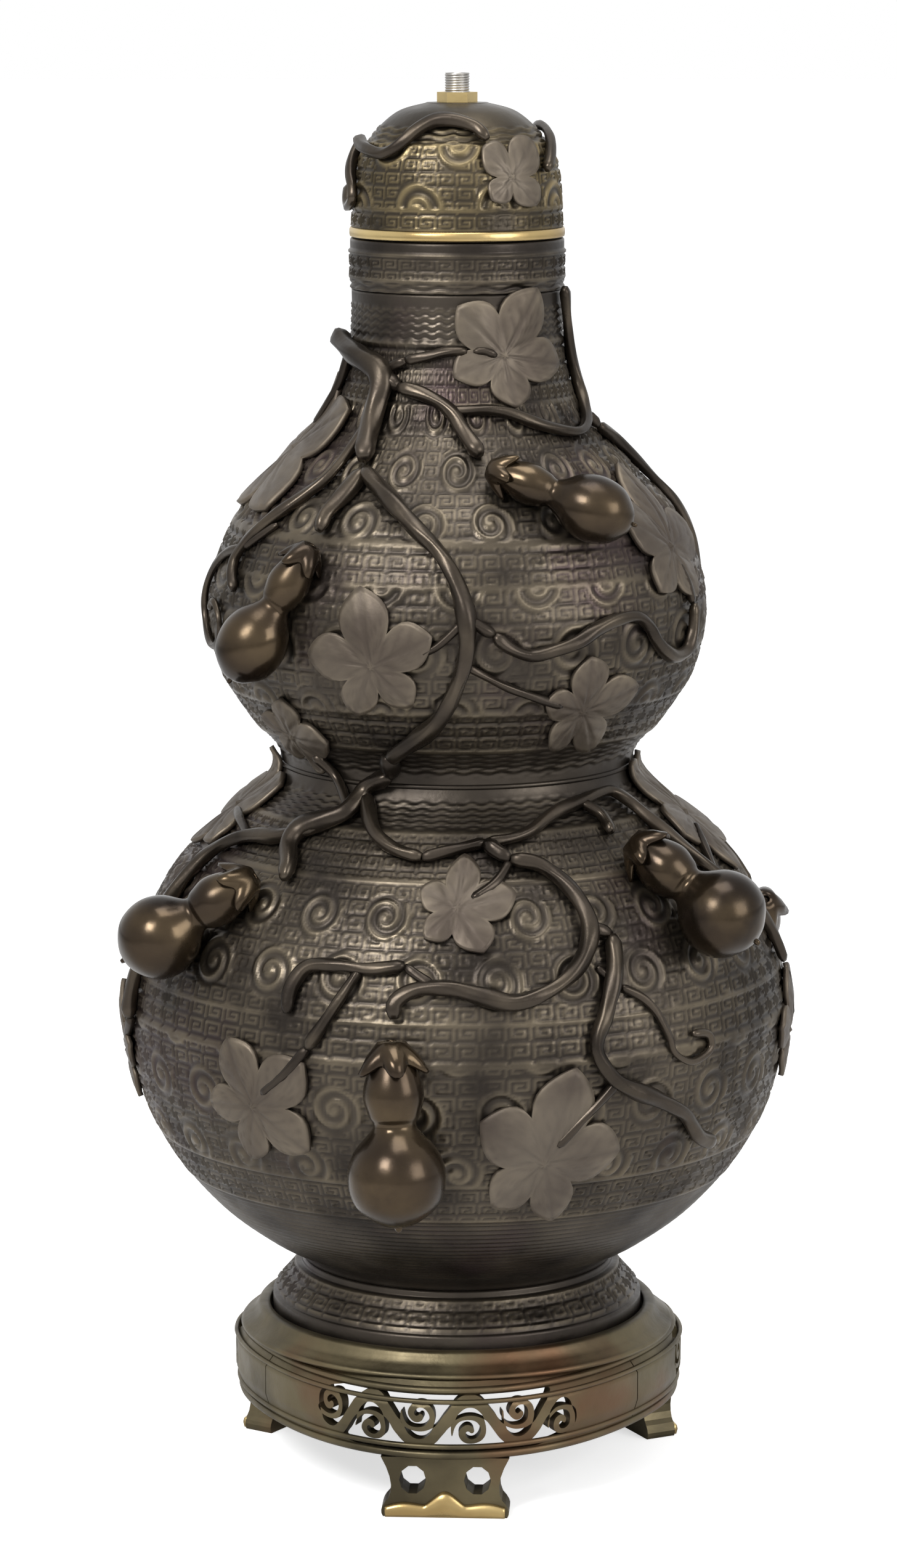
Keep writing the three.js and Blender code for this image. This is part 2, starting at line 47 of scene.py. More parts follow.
# Heights of the frame's own pieces, in millimetres
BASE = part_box("vase_foot")[0][2] / MM
COLLAR_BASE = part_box("neck_collar")[0][2] / MM
COLLAR_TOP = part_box("neck_collar")[1][2] / MM
GAP = 0.3  # clearance between two solids
CAP_BASE = COLLAR_TOP + GAP
PIPE_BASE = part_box("lamp_pipe")[0][2] / MM
PIPE_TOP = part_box("lamp_pipe")[1][2] / MM

# Sizes that the frame's boxes don't give
LIFT = 0.6  # gap under an applied vine, and under the solid of a leaf
WALL = 4.0
FLOOR_BASE = 25
FLOOR_TOP = 30
PIPE_RADIUS = 5
PIPE_BORE = 3.8  # radius of the pipe's own bore
PIPE_HOLE = PIPE_RADIUS + GAP

# Outline of the vase, radius and height over its base
LOWER = [(63.7, 25), (67, 29), (81, 37), (100, 52), (118, 74), (129.5, 99), (134, 123), (134, 139),
         (127, 165), (113, 189), (93, 209), (76, 223), (71.4, 231)]
UPPER = [(71.4, 231), (73.5, 239), (84, 251), (96, 271), (100, 293), (98, 309), (88.5, 331), (70, 351),
         (52, 371), (44, 391), (42.3, 409), (42.3, 422)]
FOOT = [(76, 0), (76, 9), (75, 10.5), (70, 16), (66, 21), (63.7, 24.7)]
CAP = [(41.9, 0), (41.6, 10.5), (40.1, 27.5), (33.7, 40.5), (24, 49.5), (12.8, 53)]


def smooth(points, steps=14):
    """Catmull-Rom curve through the points."""
    p = np.array([points[0], *points, points[-1]], float)
    t = np.linspace(0, 1, steps, endpoint=False)[:, None]
    out = []
    for a, b, c, d in zip(p[:-3], p[1:-2], p[2:-1], p[3:]):
        straight = 2 * b + (c - a) * t
        square = (2 * a - 5 * b + 4 * c - d) * t ** 2
        cube = (3 * b - a - 3 * c + d) * t ** 3
        out.append(0.5 * (straight + square + cube))
    return np.vstack([*out, p[-1:]])


def resample(curve, spacing):
    """The same curve with points at even steps along it."""
    step = np.linalg.norm(np.diff(curve, axis=0), axis=1)
    along = np.concatenate([[0], np.cumsum(step)])
    count = max(2, round(along[-1] / spacing) + 1)
    at = np.linspace(0, along[-1], count)
    return np.column_stack([np.interp(at, along, curve[:, k]) for k in range(curve.shape[1])])


def outward(curve):
    """Unit normals of a radius-height curve that runs upwards."""
    d = np.gradient(curve, axis=0)
    n = np.column_stack([d[:, 1], -d[:, 0]])
    return n / np.linalg.norm(n, axis=1)[:, None]


def around_axis(radius, angle, z):
    """Points at a radius and an angle from the front, round the axis of the vase."""
    radius, angle, z = np.broadcast_arrays(radius, angle, z)
    return np.stack([radius * np.sin(angle), -radius * np.cos(angle), z], -1)


class Surface:
    """Turned surface that applied pieces lie on: degrees round from the front, height over its base."""

    def __init__(self, outline, base):
        self.curve = smooth(outline)
        self.normal = outward(self.curve)
        self.base = base

    def at(self, degrees, height, out):
        degrees, height, out = np.broadcast_arrays(np.asarray(degrees, float), height, out)
        r, nr, nz = (np.interp(height, self.curve[:, 1], v)
                     for v in (self.curve[:, 0], self.normal[:, 0], self.normal[:, 1]))
        return around_axis(r + nr * out, np.radians(degrees), self.base + height + nz * out)


VASE = Surface(LOWER + UPPER[1:], BASE)
DOME = Surface(CAP, CAP_BASE)


# Materials

def material(name, low, high, rubbed_and_highlight, rough, metallic=0.85, grain=90, bump=0.12, tint=None):
    """Patinated metal: low and high mottle each other, the third colour lies on rubbed relief and on the
    gourds' bands of painted highlight, tint is a stain.
    """
    m = bpy.data.materials.new(name)
    m.use_nodes = True
    nodes, links = m.node_tree.nodes, m.node_tree.links
    shader = nodes["Principled BSDF"]
    shader.inputs["Metallic"].default_value = metallic
    where = nodes.new("ShaderNodeTexCoord").outputs["Object"]

    def noise(scale, detail=6):
        n = nodes.new("ShaderNodeTexNoise")
        n.inputs["Scale"].default_value = scale
        n.inputs["Detail"].default_value = detail
        links.new(where, n.inputs["Vector"])
        return n.outputs["Fac"]

    def ramp(source, start, end):
        r = nodes.new("ShaderNodeMapRange")
        r.inputs["From Min"].default_value = start
        r.inputs["From Max"].default_value = end
        links.new(source, r.inputs["Value"])
        return r.outputs["Result"]

    def mix(factor, first, second):
        x = nodes.new("ShaderNodeMix")
        x.data_type = "RGBA"
        links.new(factor, x.inputs["Factor"])
        for socket, value in ((x.inputs[6], first), (x.inputs[7], second)):
            if isinstance(value, tuple):
                socket.default_value = (*value, 1)
            else:
                links.new(value, socket)
        return x.outputs[2]

    colour = mix(ramp(noise(grain * 0.25), 0.38, 0.62), low, high)
    if tint:
        colour = mix(ramp(noise(grain * 0.16, 3), 0.54, 0.7), colour, tint)
    # Share of the third colour: rubbed relief, and painted highlight on the gourds
    relief = nodes.new("ShaderNodeAttribute")
    relief.attribute_name = "relief"
    rubbed_and_highlight_share = nodes.new("ShaderNodeMath")
    rubbed_and_highlight_share.operation = "MULTIPLY"
    links.new(relief.outputs["Fac"], rubbed_and_highlight_share.inputs[0])
    links.new(ramp(noise(grain * 0.5), 0.3, 0.7), rubbed_and_highlight_share.inputs[1])
    links.new(mix(rubbed_and_highlight_share.outputs[0], colour, rubbed_and_highlight), shader.inputs["Base Color"])
    gloss = ramp(noise(grain * 0.7), 0.3, 0.7)
    spread = nodes.new("ShaderNodeMapRange")
    spread.inputs["To Min"].default_value = rough - 0.1
    spread.inputs["To Max"].default_value = rough + 0.1
    links.new(gloss, spread.inputs["Value"])
    links.new(spread.outputs["Result"], shader.inputs["Roughness"])
    dent = nodes.new("ShaderNodeBump")
    dent.inputs["Strength"].default_value = bump
    dent.inputs["Distance"].default_value = 0.0008
    links.new(noise(grain * 4), dent.inputs["Height"])
    links.new(dent.outputs["Normal"], shader.inputs["Normal"])
    return m


BRONZE = material("bronze", (0.022, 0.0175, 0.014), (0.05, 0.041, 0.032), (0.14, 0.114, 0.078), 0.4,
                  tint=(0.034, 0.022, 0.023))
CAP_BRONZE = material("cap_bronze", (0.03, 0.024, 0.017), (0.06, 0.048, 0.032), (0.26, 0.2, 0.1), 0.38)
VINE = material("vine_bronze", (0.022, 0.017, 0.013), (0.052, 0.041, 0.031), (0.095, 0.076, 0.053), 0.34)
LEAF_COLOURS = ((0.055, 0.042, 0.032), (0.098, 0.08, 0.061), (0.15, 0.122, 0.088))
LEAF = material("leaf_bronze", *LEAF_COLOURS, 0.5, metallic=0.7)
GREEN_LEAF = material("leaf_verdigris", *LEAF_COLOURS, 0.55, metallic=0.6, tint=(0.07, 0.19, 0.13))
# Gourds: their third colour is a painted highlight, laid in bands by gourd()
GOURD = material("gourd_bronze", (0.018, 0.0125, 0.009), (0.045, 0.031, 0.019), (0.085, 0.06, 0.033), 0.24,
                 bump=0.06)
STAND = material("stand_brass", (0.055, 0.045, 0.026), (0.12, 0.098, 0.055), (0.24, 0.19, 0.1), 0.44,
                 tint=(0.11, 0.055, 0.028))
BRASS = material("worn_brass", (0.34, 0.24, 0.1), (0.56, 0.43, 0.2), (0.65, 0.5, 0.25), 0.3, grain=60)
STEEL = material("plated_steel", (0.3, 0.29, 0.27), (0.44, 0.42, 0.4), (0.5, 0.48, 0.44), 0.32,
                 metallic=0.95)


# Mesh building, in millimetres until the last step

def piece(name, verts, faces, skin, body, slot, nodes=(), relief=None, sharp=None):
    """Object that rides on a body and stands for the nodes; relief is each vertex's share of the third
    colour, rubbed wear and on the gourds painted highlight.
    """
    mesh = bpy.data.meshes.new(name)
    mesh.from_pydata((np.asarray(verts) * MM).tolist(), [], faces)
    mesh.update()
    mesh.shade_smooth()
    if sharp:
        mesh.set_sharp_from_angle(angle=math.radians(sharp))
    if relief is not None:
        layer = mesh.attributes.new("relief", "FLOAT", "POINT")
        layer.data.foreach_set("value", np.asarray(relief, np.float32).ravel())
    mesh.materials.append(skin)
    obj = bpy.data.objects.new(name, mesh)
    bpy.context.scene.collection.objects.link(obj)
    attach(obj, body)
    if nodes:
        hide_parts(*nodes)


def wrapped(rows, columns):
    """Quads of a grid of rows and columns that closes on itself both ways."""
    j, i = np.meshgrid(np.arange(rows), np.arange(columns), indexing="ij")
    j2, i2 = (j + 1) % rows, (i + 1) % columns
    quads = np.stack([j * columns + i, j * columns + i2, j2 * columns + i2, j2 * columns + i], -1)
    return quads.reshape(-1, 4).tolist()


# Relief of the cast ground

FRET = [
    "........",
    "#######.",
    "#.....#.",
    "#.###.#.",
    "#.#...#.",
    "#.#####.",
    "#.......",
]
FRET_MAP = np.array([[c == "#" for c in row] for row in FRET[::-1]], float)
FRET_TALL, FRET_WIDE = FRET_MAP.shape
FRET_HIGH = 0.7
SCROLL_HIGH = 1.1
SCROLL_WIDE = 32
SCROLL_TALL = 26
LINE_HIGH = 0.8
FINE_LINE_HIGH = 0.5
GROOVE_DEEP = 0.9
RIPPLE_HIGH = 0.45
RIPPLE_STEP = 3
RIPPLE_SWING = 14  # distance round the vase from one bend of a ripple to the next


def fret(j, i):
    """Square spirals, each row the mirror of the one below."""
    flipped = ((j // FRET_TALL) % 2).astype(bool)
    column = np.where(flipped, -1 - i, i) % FRET_WIDE
    return FRET_MAP[j % FRET_TALL, column] * FRET_HIGH


def scrolls(along, around, wide, tall, pitch=5.2):
    """Curling cloud scrolls with a boss at the centre, in staggered rows, and where they lie."""
    row = np.floor(along / tall)
    u = (around / wide + 0.5 * (row % 2)) % 1 - 0.5
    v = (along / tall) % 1 - 0.5
    x, y = u * wide, v * tall
    rho = np.hypot(x, y)
    phi = np.arctan2(y, x) * np.where(row % 2, 1, -1)
    wave = 0.5 + 0.5 * np.cos(TAU * (rho / pitch - phi / TAU))
    margin, lobe, edge, boss_spread = 1.6, 1.1, 1.2, 1.8
    reach = 0.5 * min(wide, tall) - margin + lobe * np.cos(3 * phi)
    inside = np.clip((reach - rho) / edge, 0, 1)
    boss = np.clip(1.6 - rho / boss_spread, 0, 1)
    return np.maximum(wave ** 1.5, boss) * inside * SCROLL_HIGH, inside


def ground(zones, heights, arc, columns, radius):
    """Relief of each row and column: zones are (from height, kind) pairs, lowest first."""
    starts = np.array([z[0] for z in zones])
    kinds = [zones[k][1] for k in np.searchsorted(starts, heights, side="right") - 1]
    i = np.arange(columns)
    around = i / columns * TAU * radius
    wide = TAU * radius / round(TAU * radius / SCROLL_WIDE)
    out = np.zeros((len(heights), columns))
    for j, kind in enumerate(kinds):
        if kind == "fret":
            out[j] = fret(np.full(columns, j), i)
        elif kind == "scroll":
            curls, inside = scrolls(arc[j], around, wide, SCROLL_TALL)
            out[j] = curls + fret(np.full(columns, j), i) * (1 - inside)
        elif kind == "line":
            out[j] = LINE_HIGH
        elif kind == "lines":
            out[j] = FINE_LINE_HIGH * (j % 3 == 0)
        elif kind == "groove":
            out[j] = -GROOVE_DEEP
        elif kind == "ripple":
            swing = 1.2 * np.sin(around * TAU / RIPPLE_SWING)
            out[j] = RIPPLE_HIGH * np.sin(TAU * arc[j] / RIPPLE_STEP + swing)
    return out


def cast_shell(name, outline, base, inner, zones, frets, skin, body, spacing=1.0):
    """Turned shell with relief outside, and as many frets round it as frets says.

    inner is the plain way back down, as radius and height over the base.
    """
    columns = frets * FRET_WIDE
    curve = resample(smooth(outline), spacing)
    arc = np.arange(len(curve)) * spacing
    relief = ground(zones, curve[:, 1], arc, columns, curve[:, 0].max())
    relief[[0, -1]] = 0
    normal = outward(curve)
    back = np.array(inner, float)
    r = np.vstack([curve[:, :1] + normal[:, :1] * relief, np.repeat(back[:, :1], columns, 1)])
    z = np.vstack([curve[:, 1:] + normal[:, 1:] * relief, np.repeat(back[:, 1:], columns, 1)])
    verts = around_axis(r, np.arange(columns) / columns * TAU, base + z).reshape(-1, 3)
    shade = np.vstack([np.clip(relief / SCROLL_HIGH, 0, 1), np.zeros((len(back), columns))])
    piece(name + "_cast", verts, wrapped(len(r), columns), skin, body, "bronze", [name], shade)


def thinner(outline, wall=WALL):
    """The inside of an outline, from its top down."""
    return [(r - wall, h) for r, h in reversed(outline)]


# What the ground shows from each height up
LOWER_ZONES = [(0, "plain"), (33, "lines"), (66, "line"), (68, "fret"), (82, "line"), (84, "scroll"),
               (132, "line"), (134, "fret"), (148, "line"), (150, "scroll"), (198, "line"),
               (200, "fret"), (214, "line"), (216, "ripple"), (226, "plain")]
UPPER_ZONES = [(0, "plain"), (236, "ripple"), (246, "line"), (248, "fret"), (262, "line"),
               (264, "scroll"), (312, "line"), (314, "fret"), (328, "line"), (330, "scroll"),
               (378, "line"), (380, "fret"), (401, "line"), (403, "ripple"), (416, "plain")]
FOOT_ZONES = [(0, "plain"), (9.5, "groove"), (11, "fret"), (20, "line"), (21.5, "groove"), (23, "plain")]
COLLAR_ZONES = [(0, "ripple"), (4.5, "line"), (6, "fret"), (14, "line"), (15.5, "plain")]
CAP_ZONES = [(0, "plain"), (4.6, "line"), (5.6, "fret"), (12, "line"), (13, "scroll"), (37, "line"),
             (38, "ripple"), (44, "plain")]

LOWER_INSIDE = [*thinner(LOWER[2:]), (LOWER[0][0] - WALL, FLOOR_TOP), (PIPE_HOLE, FLOOR_TOP),
                (PIPE_HOLE, FLOOR_BASE)]
UPPER_OUTSIDE = [(UPPER[0][0], UPPER[0][1] + GAP), *UPPER[1:-1], (UPPER[-1][0], UPPER[-1][1] - GAP)]
COLLAR = [(42.3, 0), (42.6, 1), (42.6, 10), (42.8, 15.5), (42.8, 19.4), (42.4, COLLAR_TOP - COLLAR_BASE)]
COLLAR_WALL = 4.2
CAP_WALL = 3
CAP_TOP_RADIUS, CAP_RISE = CAP[-1]
SPIGOT_RADIUS = 38
SPIGOT_DEPTH = 8
CAP_INSIDE = [(PIPE_HOLE, CAP_RISE), (PIPE_HOLE, CAP_RISE - CAP_WALL), (CAP_TOP_RADIUS, CAP_RISE - CAP_WALL),
              *thinner(CAP[1:-1], CAP_WALL), (SPIGOT_RADIUS - CAP_WALL, 4),
              (SPIGOT_RADIUS - CAP_WALL, -SPIGOT_DEPTH), (SPIGOT_RADIUS, -SPIGOT_DEPTH),
              (SPIGOT_RADIUS, 0)]

cast_shell("vase_foot", FOOT, BASE, thinner(FOOT), FOOT_ZONES, 46, BRONZE, "vase")
cast_shell("lower_bulb", LOWER, BASE, LOWER_INSIDE, LOWER_ZONES, 84, BRONZE, "vase")
cast_shell("upper_bulb", UPPER_OUTSIDE, BASE, thinner(UPPER), UPPER_ZONES, 64, BRONZE, "vase")
cast_shell("neck_collar", COLLAR, COLLAR_BASE, thinner(COLLAR, COLLAR_WALL), COLLAR_ZONES, 34, BRONZE,
           "vase", 0.7)
cast_shell("cap", CAP, CAP_BASE, CAP_INSIDE, CAP_ZONES, 34, CAP_BRONZE, "cap", 0.8)


# Rings and rods

def ring(name, outline, base, skin, body, slot, nodes=(), columns=160):
    """Turned ring from a closed outline of radius and height over the base."""
    curve = np.array(outline, float)
    verts = around_axis(curve[:, :1], np.arange(columns) / columns * TAU, base + curve[:, 1:])
    piece(name, verts.reshape(-1, 3), wrapped(len(curve), columns), skin, body, slot, nodes)


def bead(radius, height, half, steps=10):
    """Round outline of a bead, half of its width each way from its centre."""
    a = np.arange(steps) / steps * TAU
    return [(radius + half * math.cos(t), height + half * math.sin(t)) for t in a]


CAP_BAND = [(41.95, 0.3), (42.9, 0.5), (43.1, 1.4), (43.1, 3.2), (42.7, 4.0), (41.9, 4.2)]
NUT_BOSS = [(5.4, 52.6), (12.9, 52.6), (12.3, 53.2), (5.4, 53.25)]
ring("cap_brass_band", CAP_BAND, CAP_BASE, BRASS, "cap", "brass")
ring("cap_nut_boss", NUT_BOSS, CAP_BASE, CAP_BRONZE, "cap", "bronze", columns=64)
ring("waist_bead", bead(71.3, 231.2, 1.1), BASE, BRONZE, "vase", "bronze")


def threaded_pipe():
    """Hollow pipe with a screw thread of 1 mm pitch on its upper end."""
    columns, pitch, step = 32, 1.0, 0.2
    thread_long, thread_deep, plain_deep, end_plain = 26, 0.45, 0.25, 0.3
    start = PIPE_TOP - thread_long
    heights = np.concatenate([[PIPE_BASE, start], np.arange(start + step, PIPE_TOP, step), [PIPE_TOP]])
    rows = heights[:, None]
    a = np.arange(columns) / columns * TAU
    wave = np.abs(((rows / pitch - a / TAU) % 1) * 2 - 1)
    threaded = (rows > start) & (rows < PIPE_TOP - end_plain)
    depth = np.where(threaded, thread_deep * wave, plain_deep)
    r = np.vstack([PIPE_RADIUS - depth, np.full((2, columns), PIPE_BORE)])
    z = np.concatenate([heights, [PIPE_TOP, PIPE_BASE]])[:, None]
    piece("lamp_pipe_threaded", around_axis(r, a, z).reshape(-1, 3), wrapped(len(r), columns), STEEL,
          "vase", "steel", ["lamp_pipe"])


threaded_pipe()


# Vines, leaves and gourds

def tube(points, radius, sides=14, knots=0.17, seed=0.0):
    """Gnarled rod through the points, narrower at its ends: vertices and faces."""
    spacing = max(1.0, radius * 0.55)
    p = resample(smooth(points, 8), spacing)
    tangent = np.gradient(p, axis=0)
    tangent /= np.linalg.norm(tangent, axis=1)[:, None]
    side = np.cross(tangent[0], [0.3, 0.5, 0.8])
    a = np.arange(sides) / sides * TAU
    rings = []
    for k, (centre, t) in enumerate(zip(p, tangent)):
        side = side - t * side.dot(t)
        side /= np.linalg.norm(side)
        up = np.cross(t, side)
        end = min(k, len(p) - 1 - k)
        width = radius * min(1, 0.55 + 0.25 * end)
        along = k * spacing
        knot = np.sin(along / 9 + seed) ** 3
        ridge = 0.5 * np.sin(4 * a + along / 5 + seed)
        disc = np.cos(a)[:, None] * side + np.sin(a)[:, None] * up
        rings.append(centre + disc * (width * (1 + knots * (knot + ridge)))[:, None])
    verts = np.vstack([*rings, p[:1], p[-1:]])
    faces = []
    for k in range(len(p) - 1):
        for i in range(sides):
            n = (i + 1) % sides
            faces.append((k * sides + i, k * sides + n, (k + 1) * sides + n, (k + 1) * sides + i))
    first, last = len(p) * sides, len(p) * sides + 1
    tail = (len(p) - 1) * sides
    for i in range(sides):
        n = (i + 1) % sides
        faces.append((first, n, i))
        faces.append((last, tail + i, tail + n))
    return verts, faces


def gathered(parts):
    """Several vertex and face lists as one."""
    verts, faces, start = [], [], 0
    for v, f in parts:
        verts.append(v)
        faces.extend(tuple(k + start for k in face) for face in f)
        start += len(v)
    return np.vstack(verts), faces


def vine(name, branches, surface, body):
    """Branches of one vine, each a radius and a route over the surface."""
    parts = []
    for k, (radius, route) in enumerate(branches):
        flat = resample(smooth(route, 10), 3)
        points = surface.at(flat[:, 0], flat[:, 1], radius + LIFT)
        parts.append(tube(points[::2] if len(points) > 6 else points, radius, seed=k * 1.7 + len(name)))
    verts, faces = gathered(parts)
    relief = 0.5 + 0.5 * np.sin(verts[:, 2] / 4 + verts[:, 0] / 5)
    piece(name + "_cast", verts, faces, VINE, body, "bronze", [name], relief * 0.5)


LEAF_RISE = 2.4  # thickness of a leaf's solid, whose outer face the leaf keeps to
LEAF_SHEET = 2.0  # thickness of the leaf itself


def leaf(name, at, size, turn, surface, body, lobes=5, depth=0.38, stretch=1.0, skin=LEAF):
    """Lobed leaf with cut veins, a swell in each lobe and a curling edge."""
    spokes, rings = lobes * 16, 12
    lobe_angle = TAU / lobes
    centre = surface.at(at[0], at[1], 0.0)
    scale = np.linalg.norm(surface.at(at[0] + 1, at[1], 0.0) - centre)
    phi = np.arange(spokes) / spokes * TAU
    wave = 0.5 - 0.5 * np.cos(lobes * phi)
    near = np.minimum(phi % lobe_angle, lobe_angle - phi % lobe_angle)
    to_notch = near * 2 * lobes / TAU
    outline = 1.1 - 0.32 * to_notch - (depth - 0.2) * to_notch ** 6
    reach = size * outline * (1 + 0.2 * np.cos(phi))
    share = np.linspace(0, 1, rings + 1)[1:, None]
    rho = share * reach
    x, y = rho * np.cos(phi) * stretch, rho * np.sin(phi)
    c, s = math.cos(math.radians(turn)), math.sin(math.radians(turn))
    degrees, height = at[0] + (x * c - y * s) / scale, at[1] + x * s + y * c

    vein = np.exp(-((near * rho) / 0.8) ** 2)
    side_vein = np.exp(-((((rho - near * rho * 1.3) % 6) - 3) / 0.7) ** 2)
    side_vein = side_vein * (share < 0.93) * (share > 0.2)
    curl = share ** 3 * (0.9 - 1.3 * wave) + 0.5 * np.sin(2 * phi + size) * share ** 2
    swell = 0.7 * np.sin(math.pi * share) * (1 - wave)
    cuts = 0.6 * vein * (1 - 0.4 * share) + 0.35 * side_vein
    top = LIFT + LEAF_RISE + swell + curl * 0.8 - cuts
    lowest = LIFT * 0.6
    high = surface.at(degrees, height, top).reshape(-1, 3)
    low = surface.at(degrees, height, np.maximum(lowest, top - LEAF_SHEET)).reshape(-1, 3)
    hub = surface.at(at[0], at[1], np.array([LIFT + LEAF_RISE + 0.9, lowest]))

    layer = rings * spokes
    rim = layer - spokes
    faces = []
    for k in range(spokes):
        n = (k + 1) % spokes
        faces.append((2 * layer, k, n))
        faces.append((2 * layer + 1, layer + n, layer + k))
        for a in range(0, rim, spokes):
            b = a + spokes
            faces.append((a + k, b + k, b + n, a + n))
            faces.append((layer + a + n, layer + b + n, layer + b + k, layer + a + k))
        faces.append((rim + k, layer + rim + k, layer + rim + n, rim + n))
    rubbed_and_highlight_share = (0.3 + share ** 8 - vein - 0.5 * side_vein).clip(0, 1).ravel()
    shade = np.concatenate([rubbed_and_highlight_share, np.zeros(layer), [1, 0]])
    piece(name + "_cast", np.vstack([high, low, hub]), faces, skin, body, "bronze_leaf", [name], shade)


def calyx(origin, axis, disc, lobe, reach):
    """Five-pointed cup round the stem end of a gourd: vertices and faces."""
    columns = len(disc)
    petals = 1 + 0.45 * np.cos(5 * np.arange(columns) / columns * TAU)
    rows = np.array([(lobe * 0.12, -1.5), (lobe * 0.3, -0.8), (lobe * 0.5, reach * 0.05),
                     (lobe * 0.62, reach * 0.12)])
    share = np.array([0, 0.2, 0.7, 1.0])[:, None]
    thick = 0.9
    wide = rows[:, :1] * (1 + share * (petals - 1) * 0.5)
    drop = rows[:, 1:] + share * (petals - 1) * reach * 0.06
    outer = origin + axis * drop[..., None] + disc * wide[..., None]
    inner_wide = (wide[::-1, :, None] - thick).clip(0.2)
    inner = origin + axis * (drop[::-1, :, None] + thick) + disc * inner_wide
    return np.vstack([outer.reshape(-1, 3), inner.reshape(-1, 3)]), wrapped(2 * len(rows), columns)


def gourd(name, start, tip, lobe, surface, body):
    """Double gourd with a calyx at its stem, a small bud at its end and bands of painted highlight."""
    origin = surface.at(*start, lobe * 0.55)
    end = surface.at(*tip, lobe)
    axis = end - origin
    reach = np.linalg.norm(axis) + lobe
    axis /= np.linalg.norm(axis)
    neck = lobe * 0.62
    pole = 0.01
    outline = [(pole, 0), (lobe * 0.2, 0), (neck * 0.8, reach * 0.14), (neck, reach * 0.27),
               (neck * 0.85, reach * 0.38), (neck * 0.72, reach * 0.45), (lobe * 0.85, reach * 0.58),
               (lobe, reach * 0.72), (lobe * 0.85, reach * 0.87), (lobe * 0.4, reach * 0.97),
               (pole, reach)]
    curve = smooth(outline, 6)
    curve[:, 0] = np.maximum(curve[:, 0], pole)
    side = np.cross(axis, [0, 0, 1.0])
    side /= np.linalg.norm(side)
    up = np.cross(side, axis)
    columns = 48
    a = np.arange(columns) / columns * TAU
    disc = np.cos(a)[:, None] * side + np.sin(a)[:, None] * up
    verts = (origin + axis * curve[:, None, 1:] + disc * curve[:, None, :1]).reshape(-1, 3)
    faces = wrapped(len(curve), columns)[:-columns]
    faces.append(tuple(range(columns))[::-1])
    faces.append(tuple((len(curve) - 1) * columns + k for k in range(columns)))
    bud = tube(np.array([end + axis * lobe * 0.9, end + axis * (lobe + 1.6)]), lobe * 0.09, 8)
    verts, faces = gathered([(verts, faces), calyx(origin, axis, disc, lobe, reach), bud])
    # Bands of painted highlight: the lighter third colour in stripes across the gourd
    glow = 0.5 + 0.5 * np.sin(verts @ np.array([0.11, 0.07, 0.19]))
    piece(name + "_cast", verts, faces, GOURD, body, "bronze_gourd", [name], glow * 0.8)


